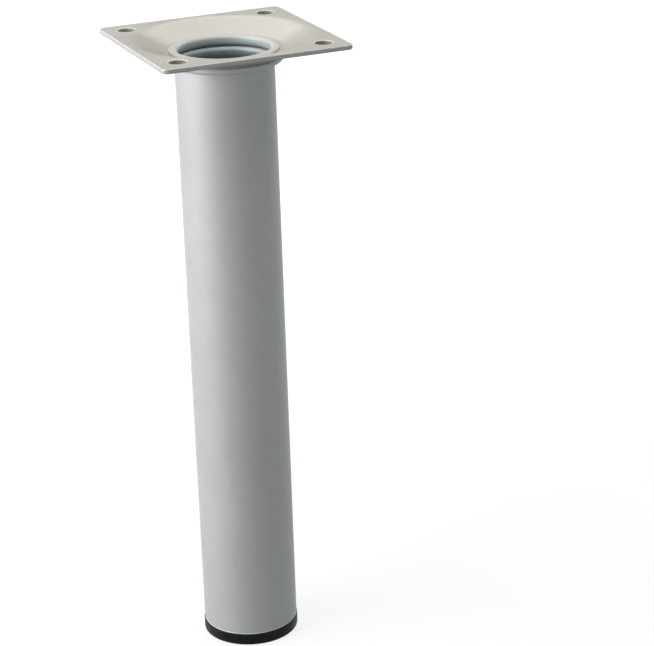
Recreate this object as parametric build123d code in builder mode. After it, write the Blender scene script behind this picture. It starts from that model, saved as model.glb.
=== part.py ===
from build123d import *
import math
import os

# A furniture leg: a round steel tube clinched into a pressed square mounting plate,
# with a push-in plastic cap as its foot. All lengths are in millimetres.
# The foot's underside stands at Z 0, the tube's axis is Z, and the plate's flat top
# face, which lies against the furniture, is at Z leg_height.

# Whole leg
leg_height = 200.0
tube_diameter = 30.5
tube_wall = 1.0

# Mounting plate
plate_side = 60.0
plate_thickness = 1.5
plate_corner_radius = 2.0
plate_edge_round = 0.4
screw_hole_diameter = 5.5
screw_hole_round = 0.2
screw_hole_clearance = 0.98

# The blank is pressed as a round disc and then trimmed square
blank_share = 0.75

# The round dish pressed into the plate
dish_depth = 3.9
dish_margin = 1.2
rim_bend_share = 0.7
floor_bend_share = 0.26
dish_floor_margin = 0.5

# The joint: the tube's rolled lip above the plate and its folded bead below
neck_clearance = 0.1
neck_bend_share = 0.3
lip_reach = 1.7
lip_thinning = 0.8
lip_crest_reach = 0.45
lip_crest_bend = 1.2
lip_edge_thickness = 0.4
lip_edge_round = 0.25
lip_corner_round = 0.1
bead_reach = 2.8
bead_roundness = 0.46
fold_gap = 0.25
fold_roundness = 0.4
fold_bend = 0.3

# Tube's lower end
tube_end_round = 0.3
tube_bore_round = 0.2

# Foot cap
cap_overhang = 0.2
cap_head_height = 3.8
cap_sole_round = 0.6
cap_shoulder_round = 0.3
cap_recess_diameter = 14.0
cap_recess_depth = 2.0
cap_recess_round = 0.4
cap_boss_diameter = 4.0
cap_boss_height = 0.9
cap_boss_round = 0.3
cap_floor_thickness = 1.6
plug_length = 13.0
plug_wall = 1.5
plug_mouth_round = 0.4
lamella_count = 4
lamella_thickness = 0.9
lamella_depth = 1.35
lamella_clearance = 0.05
lamella_chamfer = 0.3

# Tube radii
tube_outer = tube_diameter / 2
tube_inner = tube_outer - tube_wall

# Heights through the joint, from the plate's top face down
plate_underside = leg_height - plate_thickness
dish_floor_top = leg_height - dish_depth
dish_floor_underside = dish_floor_top - plate_thickness
lip_thickness = lip_thinning * tube_wall
lip_top = dish_floor_top + lip_thickness
lip_crest = tube_outer + lip_crest_reach
lip_outer = tube_outer + lip_reach
lip_edge_top = dish_floor_top + lip_edge_thickness
bead_outer = tube_outer + bead_reach
bead_top = dish_floor_underside
fold_mouth_top = bead_top - tube_wall
fold_mouth_bottom = fold_mouth_top - fold_gap
bead_bottom = fold_mouth_bottom - tube_wall
bead_round = bead_roundness * (bead_top - bead_bottom)
fold_round = fold_roundness * fold_gap

# The hole's upper edge is rounded to nest in the lip's bend, its lower edge in the fold's
neck_hole = tube_outer + neck_clearance
neck_bend = neck_bend_share * plate_thickness

# The dish's wall is a cone between two bends. The rim bend starts at dish_edge, where the
# plate is flat, and the floor bend ends at dish_floor, just outside the lip. The cone's
# slope is the one angle that joins the two bends over the dish's width and depth. Both
# bends are shares of that width, so the slope always exists.
dish_edge = plate_side / 2 - dish_margin
dish_floor = lip_outer + dish_floor_margin
dish_width = dish_edge - dish_floor
dish_rim_bend = rim_bend_share * dish_width
dish_floor_bend = floor_bend_share * dish_width
bend_sum = dish_rim_bend + dish_floor_bend
slope_reach = math.hypot(dish_width, bend_sum - dish_depth)
dish_slope = math.asin(bend_sum / slope_reach) - math.atan2(bend_sum - dish_depth, dish_width)
half_turn = math.tan(dish_slope / 2)
rim_corner = dish_edge - dish_rim_bend * half_turn
floor_corner = dish_floor + dish_floor_bend * half_turn
# On the underside both corners lie further out, by the sheet's thickness through the turn
corner_shift = plate_thickness * half_turn
# The round blank reaches past the square's corners
blank_radius = plate_side * blank_share
# Each screw hole lies on the square's diagonal, just outside the dish. Here that makes a
# square pattern of 46 mm.
screw_hole_radius = screw_hole_diameter / 2
screw_reach = dish_edge + screw_hole_clearance + screw_hole_radius
screw_spacing = screw_reach * math.sqrt(2)

# Foot cap, from the sole up
cap_radius = tube_outer + cap_overhang
recess_radius = cap_recess_diameter / 2
boss_radius = cap_boss_diameter / 2
boss_sole = cap_recess_depth - cap_boss_height
plug_floor = cap_recess_depth + cap_floor_thickness
lamella_radius = tube_inner - lamella_clearance
plug_radius = lamella_radius - lamella_depth
plug_bore = plug_radius - plug_wall
plug_top = cap_head_height + plug_length
lamella_spacing = plug_length / (lamella_count + 0.5)


# A turned piece's section, drawn from its corners, each a radius, a height and the bend there
def turned_section(corners):
    FilletPolyline(
        [(radius, height) for radius, height, bend in corners],
        radius=[bend for radius, height, bend in corners],
        close=True,
    )


# Mounting plate: one pressed steel sheet, dished around the tube's hole, with four
# plain screw holes in its flat corners
plate_section = [
    (neck_hole, dish_floor_top, neck_bend),
    (floor_corner, dish_floor_top, dish_floor_bend),
    (rim_corner, leg_height, dish_rim_bend),
    (blank_radius, leg_height, 0),
    (blank_radius, plate_underside, 0),
    (rim_corner + corner_shift, plate_underside, dish_rim_bend - plate_thickness),
    (floor_corner + corner_shift, dish_floor_underside, dish_floor_bend + plate_thickness),
    (neck_hole, dish_floor_underside, fold_bend),
]

with BuildPart() as mounting_plate:
    with BuildSketch(Plane.XZ):
        with BuildLine():
            turned_section(plate_section)
        make_face()
    revolve(axis=Axis.Z)

    with BuildSketch(Plane.XY.offset(dish_floor_underside)):
        RectangleRounded(plate_side, plate_side, plate_corner_radius)
    extrude(amount=dish_depth + plate_thickness, mode=Mode.INTERSECT)

    with Locations(Plane.XY.offset(leg_height)):
        with GridLocations(screw_spacing, screw_spacing, 2, 2):
            Hole(screw_hole_radius, depth=plate_thickness)

    flats = mounting_plate.faces().filter_by(Axis.Z)
    top_flat = flats.sort_by(Axis.Z)[-1]
    under_flat = flats.filter_by_position(Axis.Z, plate_underside, leg_height)[0]
    hole_edges = mounting_plate.edges().filter_by(
        lambda edge: edge.geom_type == GeomType.CIRCLE
        and abs(edge.radius - screw_hole_radius) < 0.001
    )
    fillet(top_flat.outer_wire().edges() + under_flat.outer_wire().edges(), plate_edge_round)
    fillet(hole_edges, screw_hole_round)

mounting_plate.part.label = "mounting_plate"


# Tube: one steel tube. From the foot it rises plain to the folded ring bead under the
# plate, passes through the plate's hole and is rolled outward over the dish's floor. The
# rolled lip thins towards its edge.
# The corners of its wall's section are radius, height and the bend or round there.
tube_section = [
    (tube_inner, cap_head_height, tube_bore_round),
    (tube_outer, cap_head_height, tube_end_round),
    (tube_outer, bead_bottom, fold_bend),
    (bead_outer, bead_bottom, bead_round),
    (bead_outer, bead_top, bead_round),
    (tube_outer, bead_top, fold_bend),
    (tube_outer, dish_floor_top, neck_bend),
    (lip_outer, dish_floor_top, lip_corner_round),
    (lip_outer, lip_edge_top, lip_edge_round),
    (lip_crest, lip_top, lip_crest_bend),
    (tube_inner, lip_top, neck_bend + lip_thickness),
    (tube_inner, fold_mouth_top, fold_bend + tube_wall),
    (bead_outer - tube_wall, fold_mouth_top, fold_round),
    (bead_outer - tube_wall, fold_mouth_bottom, fold_round),
    (tube_inner, fold_mouth_bottom, fold_bend + tube_wall),
]

with BuildPart() as leg_tube:
    with BuildSketch(Plane.XZ):
        with BuildLine():
            turned_section(tube_section)
        make_face()
    revolve(axis=Axis.Z)

leg_tube.part.label = "leg_tube"


# Foot cap: one moulding. A flat head closes the tube's end and is what stands on the
# floor, with a round recess and a small boss in its sole. Above it a hollow plug with
# ring lamellae is pushed into the tube.
cap_section = [
    (recess_radius, 0, cap_shoulder_round),
    (cap_radius, 0, cap_sole_round),
    (cap_radius, cap_head_height, cap_shoulder_round),
    (plug_radius, cap_head_height, 0),
    (plug_radius, plug_top, plug_mouth_round),
    (plug_bore, plug_top, plug_mouth_round),
    (plug_bore, plug_floor, plug_mouth_round),
    (0, plug_floor, 0),
    (0, boss_sole, 0),
    (boss_radius, boss_sole, cap_boss_round),
    (boss_radius, cap_recess_depth, cap_boss_round),
    (recess_radius, cap_recess_depth, cap_recess_round),
]

with BuildPart() as foot_cap:
    with BuildSketch(Plane.XZ):
        with BuildLine():
            turned_section(cap_section)
        make_face()
    revolve(axis=Axis.Z)

    lamella_planes = [
        Plane.XY.offset(cap_head_height + lamella_spacing * (number + 0.5))
        for number in range(lamella_count)
    ]
    with BuildSketch(*lamella_planes):
        Circle(lamella_radius)
        Circle(plug_radius - plug_wall / 2, mode=Mode.SUBTRACT)
    extrude(amount=lamella_thickness)
    lamella_lips = foot_cap.edges().filter_by(
        lambda edge: edge.geom_type == GeomType.CIRCLE
        and abs(edge.radius - lamella_radius) < 0.001
    )
    chamfer(lamella_lips, lamella_chamfer)

foot_cap.part.label = "foot_cap"


os.makedirs("parts", exist_ok=True)
export_step(mounting_plate.part, "parts/mounting_plate.step")
export_step(leg_tube.part, "parts/leg_tube.step")
export_step(foot_cap.part, "parts/foot_cap.step")
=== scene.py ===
import math
import bpy
from mathutils import Matrix, Vector


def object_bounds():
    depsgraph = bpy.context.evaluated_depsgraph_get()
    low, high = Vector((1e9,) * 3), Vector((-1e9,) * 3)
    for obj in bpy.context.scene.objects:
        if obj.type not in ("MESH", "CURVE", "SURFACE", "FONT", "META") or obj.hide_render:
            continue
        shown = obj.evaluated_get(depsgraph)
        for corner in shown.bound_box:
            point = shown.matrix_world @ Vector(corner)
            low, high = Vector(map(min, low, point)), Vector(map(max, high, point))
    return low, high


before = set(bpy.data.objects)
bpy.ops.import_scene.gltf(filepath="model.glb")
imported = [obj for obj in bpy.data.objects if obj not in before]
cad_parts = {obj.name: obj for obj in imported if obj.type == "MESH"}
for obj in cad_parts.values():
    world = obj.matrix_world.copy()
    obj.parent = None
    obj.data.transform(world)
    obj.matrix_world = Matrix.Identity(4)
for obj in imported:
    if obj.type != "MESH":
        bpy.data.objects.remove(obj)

cad_low, cad_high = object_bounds()

MM = 0.001

# Where the leg's parts are, in metres up the tube's axis and out from it
LEG_HEIGHT = cad_high.z
TUBE_BORE = 14.25 * MM
LIP_TOP = LEG_HEIGHT - 3.1 * MM
FOLD_MOUTH = LEG_HEIGHT - 6.4 * MM
TUBE_FOOT = 3.8 * MM
PLATE_REACH = cad_high.x
HOLE_REACH = 23.0 * MM
HOLE_RADIUS = 2.75 * MM


# A colour, as linear red, green and blue
def tone(red, green, blue):
    return (red, green, blue, 1.0)


WHITE = tone(1.0, 1.0, 1.0)

# Nearly all of a noise lies between these
NOISE_LOW = 0.3
NOISE_HIGH = 0.7


# The node tree of a material or of the world, built one node at a time. An input is a number,
# a colour or the output of another node.
class Graph:
    def __init__(self, owner):
        owner.use_nodes = True
        self.tree = owner.node_tree
        self.tree.nodes.clear()

    def node(self, kind, inputs=None, **settings):
        made = self.tree.nodes.new(kind)
        for name, value in settings.items():
            setattr(made, name, value)
        for name, value in (inputs or {}).items():
            if isinstance(value, bpy.types.NodeSocket):
                self.tree.links.new(value, made.inputs[name])
            else:
                made.inputs[name].default_value = value
        return made

    def math(self, operation, first, second=0.0, clamp=False):
        inputs = {0: first, 1: second}
        return self.node("ShaderNodeMath", inputs, operation=operation, use_clamp=clamp).outputs[0]

    def times(self, first, second):
        return self.math("MULTIPLY", first, second)

    # What is left of 1
    def rest(self, value):
        return self.math("SUBTRACT", 1.0, value)

    def length(self, first, second):
        squares = self.math("ADD", self.math("POWER", first, 2.0), self.math("POWER", second, 2.0))
        return self.math("SQRT", squares)

    # A smooth step from one value to another, as a third goes from start to full
    def ramp(self, value, start, full, low=0.0, high=1.0):
        limits = {"From Min": start, "From Max": full, "To Min": low, "To Max": high}
        return self.node(
            "ShaderNodeMapRange", {"Value": value, **limits}, interpolation_type="SMOOTHSTEP"
        ).outputs[0]

    # The point on the piece, in the shared frame, and its X, Y and Z
    def place(self):
        return self.node("ShaderNodeTexCoord").outputs["Object"]

    def parts(self, vector):
        return self.node("ShaderNodeSeparateXYZ", {0: vector}).outputs

    def noise(self, size, detail, roughness=0.5):
        settings = {"Scale": 1 / size, "Detail": detail, "Roughness": roughness}
        return self.node("ShaderNodeTexNoise", {"Vector": self.place(), **settings}).outputs["Fac"]

    # A value that follows a noise from low to high
    def vary(self, noise, low, high):
        return self.ramp(noise, NOISE_LOW, NOISE_HIGH, low, high)

    def blend(self, share, first, second, kind="MIX"):
        inputs = {0: share, 6: first, 7: second}
        return self.node("ShaderNodeMix", inputs, data_type="RGBA", blend_type=kind).outputs[2]

    def bump(self, height, distance, normal=None):
        inputs = {"Height": height, "Distance": distance}
        if normal:
            inputs["Normal"] = normal
        return self.node("ShaderNodeBump", inputs).outputs[0]

    # 1 for what the camera sees directly, mirrored or through a clear surface, 0 for light
    def seen(self):
        path = self.node("ShaderNodeLightPath").outputs
        indirect = self.math("MAXIMUM", path["Is Glossy Ray"], path["Is Transmission Ray"])
        return self.math("MAXIMUM", path["Is Camera Ray"], indirect)


# Tube: where one finish gives way to the next, out from the axis and up
INSIDE_START = TUBE_BORE + 0.9 * MM
INSIDE_FULL = TUBE_BORE + 0.2 * MM
LIP_START = LIP_TOP - 1.2 * MM
LIP_FULL = LIP_TOP - 0.7 * MM
LIP_PAINT = tone(0.49, 0.48, 0.45)
# Inside the mouth: a pale, cool painted light on the inner wall, brighter than the paint, where
# the lamps give too little light
MOUTH_LIGHT_TOP = LIP_TOP - 0.5 * MM
MOUTH_LIGHT_AT_LIP = 0.5
MOUTH_LIGHT_AT_FOLD = 0.8
MOUTH_PAINTED_LIGHT = tone(0.69, 0.785, 0.79)
# Deeper in the bore: dark, cool steel, with painted shade that deepens down the bore and over the
# fold's crest
DEEP_SHADE_START = FOLD_MOUTH - 0.2 * MM
DEEP_SHADE_FULL = FOLD_MOUTH - 3.6 * MM
DEEP_SHADE_DRIFT = 1.5 * MM
STEEL_ROUGH = 0.12
STEEL_AND_DEEP_SHADE = tone(0.155, 0.23, 0.24)
# A painted highlight along the outside of the tube's lower end, just above the cap
FOOT_HIGHLIGHT_START = TUBE_FOOT + 0.62 * MM
FOOT_HIGHLIGHT_FULL = TUBE_FOOT + 0.42 * MM
FOOT_PAINTED_HIGHLIGHT = tone(0.86, 0.87, 0.86)


# The lip takes the plate's tone. Inside the mouth the colour turns pale and cool, as painted light
# on the inner wall.
# Further down it turns to dark steel, deepened as painted shade down the bore and over the fold's
# crest.
# A painted highlight runs along the outside of the tube's lower end.
def tube_ends(g, colour, rough, metal, cloud):
    x, y, z = g.parts(g.place())
    inside = g.ramp(g.length(x, y), INSIDE_START, INSIDE_FULL)
    outside = g.rest(inside)
    colour = g.blend(g.times(g.ramp(z, LIP_START, LIP_FULL), outside), colour, LIP_PAINT)
    # Painted light: the mouth's inner wall turns pale and cool
    mouth_light = g.ramp(z, MOUTH_LIGHT_TOP, FOLD_MOUTH, MOUTH_LIGHT_AT_LIP, MOUTH_LIGHT_AT_FOLD)
    colour = g.blend(g.times(inside, mouth_light), colour, MOUTH_PAINTED_LIGHT)
    # Painted shade: darker steel down the bore and over the fold's crest
    drift = g.math("ADD", z, g.times(g.math("SUBTRACT", cloud, 0.5), DEEP_SHADE_DRIFT))
    deep = g.ramp(drift, DEEP_SHADE_START, DEEP_SHADE_FULL)
    steel_and_shade = g.math("MULTIPLY", inside, deep, clamp=True)
    colour = g.blend(steel_and_shade, colour, STEEL_AND_DEEP_SHADE)
    rough = g.math("ADD", rough, g.times(steel_and_shade, STEEL_ROUGH))
    # Painted highlight along the tube's lower end
    colour = g.blend(g.times(g.ramp(z, FOOT_HIGHLIGHT_START, FOOT_HIGHLIGHT_FULL), outside), colour, FOOT_PAINTED_HIGHLIGHT)
    return colour, rough, metal


# Plate: where its side faces, the rims and walls of its screw holes and its underside start.
# A surface counts as underside by the upward part of its normal.
# Holes' walls: darkened by a painted shade, and less metallic
WALL_START = HOLE_RADIUS + 0.06 * MM
WALL_FULL = HOLE_RADIUS + 0.01 * MM
HOLE_SHADE_SHARE = 0.2
WALL_DULLNESS = 0.85
HOLE_WALL_SHADE = tone(0.22, 0.22, 0.21)
# Holes' rims: a painted highlight
RIM_START = HOLE_RADIUS + 0.42 * MM
RIM_FULL = HOLE_RADIUS + 0.22 * MM
RIM_HIGHLIGHT_SHARE = 0.6
RIM_PAINTED_HIGHLIGHT = tone(0.84, 0.84, 0.81)
# Side faces: a cool painted reflection, and duller paint
SIDE_START = PLATE_REACH - 0.42 * MM
SIDE_FULL = PLATE_REACH - 0.2 * MM
SIDE_REFLECTION_SHARE = 0.6
SIDE_DULLNESS = 0.6
SIDE_COOL_REFLECTION = tone(0.57, 0.61, 0.59)
# Upper edges: the paint runs thin there, and a painted highlight brightens them
UPPER_START = LEG_HEIGHT - 0.42 * MM
UPPER_FULL = LEG_HEIGHT - 0.15 * MM
EDGE_CLOUD_LOW = 0.25
EDGE_CLOUD_HIGH = 0.75
EDGE_LEAST = 0.35
EDGE_MOST = 0.8
EDGE_THIN_PAINT_AND_HIGHLIGHT = tone(0.70, 0.70, 0.67)
# Underside: a lighter, cool painted bounce light, chosen by the direction of its normal
BELOW_START = -0.2
BELOW_FULL = -0.7
UNDERSIDE_BOUNCE_SHARE = 0.7
UNDERSIDE_PAINTED_BOUNCE = tone(0.505, 0.542, 0.53)


# The paint runs thin over the plate's upper edges, and these edges and the rims of its holes carry
# a painted highlight; the holes' walls carry a painted shade. The side faces carry a cool painted
# reflection, the underside a lighter, cool painted bounce, and the sides and the holes' walls are
# less metallic.
def plate_edges(g, colour, rough, metal, cloud):
    x, y, z = g.parts(g.place())
    x = g.math("ABSOLUTE", x)
    y = g.math("ABSOLUTE", y)
    from_hole = g.length(g.math("SUBTRACT", x, HOLE_REACH), g.math("SUBTRACT", y, HOLE_REACH))
    wall = g.ramp(from_hole, WALL_START, WALL_FULL)
    rim = g.ramp(from_hole, RIM_START, RIM_FULL)
    side = g.ramp(g.math("MAXIMUM", x, y), SIDE_START, SIDE_FULL)
    upper = g.ramp(z, UPPER_START, UPPER_FULL)
    facing = g.parts(g.node("ShaderNodeTexCoord").outputs["Normal"])[2]
    below = g.ramp(facing, BELOW_START, BELOW_FULL)
    thin_paint_and_highlight = g.ramp(cloud, EDGE_CLOUD_LOW, EDGE_CLOUD_HIGH, EDGE_LEAST, EDGE_MOST)
    edge = g.times(g.math("MAXIMUM", rim, side), upper)
    # Cool painted reflection on the side faces
    colour = g.blend(g.times(side, SIDE_REFLECTION_SHARE), colour, SIDE_COOL_REFLECTION)
    # Painted bounce light on the underside
    colour = g.blend(g.times(below, UNDERSIDE_BOUNCE_SHARE), colour, UNDERSIDE_PAINTED_BOUNCE)
    # Thin paint and a painted highlight on the upper edges
    colour = g.blend(g.times(edge, thin_paint_and_highlight), colour, EDGE_THIN_PAINT_AND_HIGHLIGHT)
    # Painted highlight on the holes' rims
    colour = g.blend(g.times(g.times(rim, upper), RIM_HIGHLIGHT_SHARE), colour, RIM_PAINTED_HIGHLIGHT)
    # Painted shade in the holes' walls
    colour = g.blend(g.times(wall, HOLE_SHADE_SHARE), colour, HOLE_WALL_SHADE)
    dull = g.math("MAXIMUM", g.times(side, SIDE_DULLNESS), g.times(wall, WALL_DULLNESS))
    return colour, rough, g.times(metal, g.rest(dull))


# Faint rings that the rolling tool left on the lip and on the dish's floor around it
RING_PITCH = 0.75 * MM
RING_START = 15.0 * MM
RING_FULL = RING_START + 0.3 * MM
RING_END = 19.5 * MM
RING_FADE = 2.5 * MM
RING_LOW = LEG_HEIGHT - 4.6 * MM
RING_HIGH = LEG_HEIGHT - 4.2 * MM


def tool_rings(g):
    x, y, z = g.parts(g.place())
    across = g.length(x, y)
    wave = g.math("SINE", g.times(across, 2 * math.pi / RING_PITCH))
    inner = g.ramp(across, RING_START, RING_FULL)
    outer = g.ramp(across, RING_END, RING_END - RING_FADE)
    upper = g.ramp(z, RING_LOW, RING_HIGH)
    return g.times(wave, g.times(g.times(inner, outer), upper))


# Paint: the size of each pattern, the height of its bump and how far it changes the paint
MOTTLE_SIZE = 24 * MM
MOTTLE_DARK = 0.965
MOTTLE_PALE = 1.02
CLOUD_SIZE = 5 * MM
CLOUD_SHADE = 0.012
GRAIN_SIZE = 0.22 * MM
GRAIN_ROUGHNESS = 0.6
GRAIN_HEIGHT = 0.0035 * MM
FLAKE_START = 0.35
FLAKE_FULL = 0.7
PEEL_SIZE = 1.7 * MM
PEEL_HEIGHT = 0.012 * MM
RING_HEIGHT = 0.03 * MM
GLOSS_CHANGE = 0.03
PAINT_IOR = 1.5


# Satin paint: an even coat with a very fine metallic grain, the slight waviness of sprayed
# paint and hardly any mottling
def paint(name, base, flake, metal, shine, rough, finish):
    material = bpy.data.materials.new(name)
    g = Graph(material)
    mottle = g.noise(MOTTLE_SIZE, detail=2.0)
    cloud = g.noise(CLOUD_SIZE, detail=3.0)
    grain = g.noise(GRAIN_SIZE, detail=2.0, roughness=GRAIN_ROUGHNESS)
    peel = g.noise(PEEL_SIZE, detail=1.0)
    colour = g.blend(g.ramp(grain, FLAKE_START, FLAKE_FULL), base, flake)
    shade = g.math(
        "ADD",
        g.vary(mottle, MOTTLE_DARK, MOTTLE_PALE),
        g.vary(cloud, -CLOUD_SHADE, CLOUD_SHADE),
    )
    shade = g.node("ShaderNodeCombineColor", {0: shade, 1: shade, 2: shade}).outputs[0]
    colour = g.blend(1.0, colour, shade, "MULTIPLY")
    rough = g.math(
        "ADD",
        g.vary(mottle, rough - GLOSS_CHANGE, rough + GLOSS_CHANGE),
        g.vary(grain, -GLOSS_CHANGE, GLOSS_CHANGE),
    )
    colour, rough, metal = finish(g, colour, rough, metal, cloud)
    normal = g.bump(peel, PEEL_HEIGHT)
    normal = g.bump(tool_rings(g), RING_HEIGHT, normal)
    normal = g.bump(grain, GRAIN_HEIGHT, normal)
    shader = g.node(
        "ShaderNodeBsdfPrincipled",
        {
            "Base Color": colour,
            "Metallic": metal,
            "Roughness": rough,
            "IOR": PAINT_IOR,
            "Specular IOR Level": shine,
            "Normal": normal,
        },
    )
    g.node("ShaderNodeOutputMaterial", {"Surface": shader.outputs[0]})
    return material


# Plastic: its blacks, its patterns and its sheen
CAP_BLACK = tone(0.002, 0.0042, 0.0042)
CAP_PATCH = tone(0.004, 0.008, 0.008)
CAP_GRAIN = tone(0.010, 0.0165, 0.0165)
CAP_GRAIN_SIZE = 0.16 * MM
CAP_GRAIN_ROUGHNESS = 0.6
CAP_GRAIN_START = 0.55
CAP_GRAIN_FULL = 0.75
CAP_GRAIN_SHARE = 0.35
CAP_GRAIN_HEIGHT = 0.006 * MM
CAP_GLOSS_CHANGE = 0.04
CAP_PATCH_SIZE = 6 * MM
CAP_PATCH_START = 0.35
CAP_PATCH_FULL = 0.7
CAP_SMOOTHEST = 0.36
CAP_ROUGHEST = 0.46
CAP_SHINE = 0.12
CAP_IOR = 1.5


# Moulded black plastic: a fine spark-eroded texture, a soft sheen and slightly greyer patches
def plastic(name):
    material = bpy.data.materials.new(name)
    g = Graph(material)
    texture = g.noise(CAP_GRAIN_SIZE, detail=3.0, roughness=CAP_GRAIN_ROUGHNESS)
    patch = g.noise(CAP_PATCH_SIZE, detail=3.0)
    colour = g.blend(g.ramp(patch, CAP_PATCH_START, CAP_PATCH_FULL), CAP_BLACK, CAP_PATCH)
    crests = g.times(g.ramp(texture, CAP_GRAIN_START, CAP_GRAIN_FULL), CAP_GRAIN_SHARE)
    rough = g.math(
        "ADD",
        g.vary(patch, CAP_SMOOTHEST, CAP_ROUGHEST),
        g.vary(texture, -CAP_GLOSS_CHANGE, CAP_GLOSS_CHANGE),
    )
    shader = g.node(
        "ShaderNodeBsdfPrincipled",
        {
            "Base Color": g.blend(crests, colour, CAP_GRAIN),
            "Roughness": rough,
            "IOR": CAP_IOR,
            "Specular IOR Level": CAP_SHINE,
            "Normal": g.bump(texture, CAP_GRAIN_HEIGHT),
        },
    )
    g.node("ShaderNodeOutputMaterial", {"Surface": shader.outputs[0]})
    return material


def dress(node, material):
    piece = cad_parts[node]
    piece.data.materials.clear()
    piece.data.materials.append(material)
    for face in piece.data.polygons:
        face.material_index = 0


# The plate and the tube are one paint. The plate's warmer tone and the tube's cooler, greener tone
# are painted light: the warm top lamp's tint on the plate and the cool surroundings' reflection on
# the tube.
plate_paint = paint(
    "plate_paint",
    base=tone(0.458, 0.452, 0.417),
    flake=tone(0.517, 0.511, 0.474),
    metal=0.36,
    shine=0.0,
    rough=0.26,
    finish=plate_edges,
)
tube_paint = paint(
    "tube_paint",
    base=tone(0.456, 0.478, 0.467),
    flake=tone(0.519, 0.542, 0.531),
    metal=0.28,
    shine=0.25,
    rough=0.55,
    finish=tube_ends,
)
dress("mounting_plate", plate_paint)
dress("leg_tube", tube_paint)
dress("foot_cap", plastic("cap_plastic"))


# Floor: matt and pale. It also glows where the camera sees it, a little under white around
# the leg, so that the leg's shadow stays, and white further out.
FLOOR_REACH = 3.0
FLOOR_DROP = 0.02 * MM
FLOOR_TONE = tone(0.195, 0.22, 0.22)
FLOOR_GLOW = 0.81
FLOOR_NEAR = 0.12
FLOOR_FAR = 0.5
bpy.ops.mesh.primitive_plane_add(size=2 * FLOOR_REACH, location=(0, 0, -FLOOR_DROP))
floor = bpy.context.object
floor.name = "floor"
floor_paint = bpy.data.materials.new("floor")
g = Graph(floor_paint)
x, y, z = g.parts(g.place())
level = g.ramp(g.length(x, y), FLOOR_NEAR, FLOOR_FAR, FLOOR_GLOW, 1.0)
lit = g.node("ShaderNodeBsdfDiffuse", {"Color": FLOOR_TONE})
glow = g.node("ShaderNodeEmission", {"Color": WHITE, "Strength": g.times(g.seen(), level)})
both = g.node("ShaderNodeAddShader", {0: lit.outputs[0], 1: glow.outputs[0]})
g.node("ShaderNodeOutputMaterial", {"Surface": both.outputs[0]})
floor.data.materials.append(floor_paint)


# World: white where it is seen, directly or mirrored, and a dim cool fill otherwise
FILL = 0.03
FILL_TONE = tone(0.92, 1.0, 0.985)
world = bpy.data.worlds.new("studio")
bpy.context.scene.world = world
g = Graph(world)
seen = g.seen()
sky = g.node(
    "ShaderNodeBackground",
    {"Color": g.blend(seen, FILL_TONE, WHITE), "Strength": g.ramp(seen, 0.0, 1.0, FILL, 1.0)},
)
g.node("ShaderNodeOutputWorld", {"Surface": sky.outputs[0]})


# A soft box: an area lamp at a place, turned to a point, with the brightness of its face
def soft_box(name, place, aim, width, height, brightness, colour=(1.0, 1.0, 1.0)):
    data = bpy.data.lights.new(name, "AREA")
    data.shape = "RECTANGLE"
    data.size = width
    data.size_y = height
    data.energy = brightness * math.pi * width * height
    data.color = colour
    lamp = bpy.data.objects.new(name, data)
    lamp.location = place
    lamp.rotation_euler = (Vector(aim) - Vector(place)).to_track_quat("-Z", "Y").to_euler()
    lamp.visible_camera = False
    bpy.context.scene.collection.objects.link(lamp)


# The key stands low and left of the camera, and the top lamp hangs above and a little behind
# the leg. The two others are weak: side lifts the shadow side, and back the side turned away.
soft_box(
    "key",
    place=(-0.617, 0.054, 0.29),
    aim=(0, 0, 0.18),
    width=0.6,
    height=0.38,
    brightness=7.1,
    colour=(1.0, 0.96, 0.975),
)
soft_box(
    "top",
    place=(0.129, 0.2, 0.945),
    aim=(0.028, 0.045, 0.2),
    width=1.3,
    height=1.72,
    brightness=1.47,
    colour=(1.0, 0.95, 0.915),
)
soft_box(
    "side",
    place=(0.74, -0.645, 0.34),
    aim=(0, 0, 0.18),
    width=0.3,
    height=0.6,
    brightness=1.0,
    colour=(0.93, 1.0, 0.985),
)
soft_box(
    "back",
    place=(0.76, 0.48, 0.34),
    aim=(0, 0, 0.15),
    width=0.4,
    height=0.5,
    brightness=1.7,
)


# Camera: the photograph's view of the standing leg
CAMERA_PLACE = Vector((-0.22797, -0.61021, 0.35504))
CAMERA_RIGHT = Vector((0.915581, -0.401006, -0.030112))
CAMERA_DOWN = Vector((-0.169088, -0.31596, -0.933584))
CAMERA_FORWARD = Vector((0.364858, 0.859863, -0.357092))
CAMERA_LENS = 120.94
CAMERA_SENSOR = 36.0
view = bpy.data.cameras.new("camera")
view.sensor_width = CAMERA_SENSOR
view.lens = CAMERA_LENS
view.clip_start = 0.01
view.clip_end = 20.0
camera = bpy.data.objects.new("camera", view)
turn = Matrix((CAMERA_RIGHT, -CAMERA_DOWN, -CAMERA_FORWARD)).transposed()
camera.matrix_world = Matrix.Translation(CAMERA_PLACE) @ turn.to_4x4()
bpy.context.scene.collection.objects.link(camera)
bpy.context.scene.camera = camera
bpy.context.scene.view_settings.view_transform = "Standard"
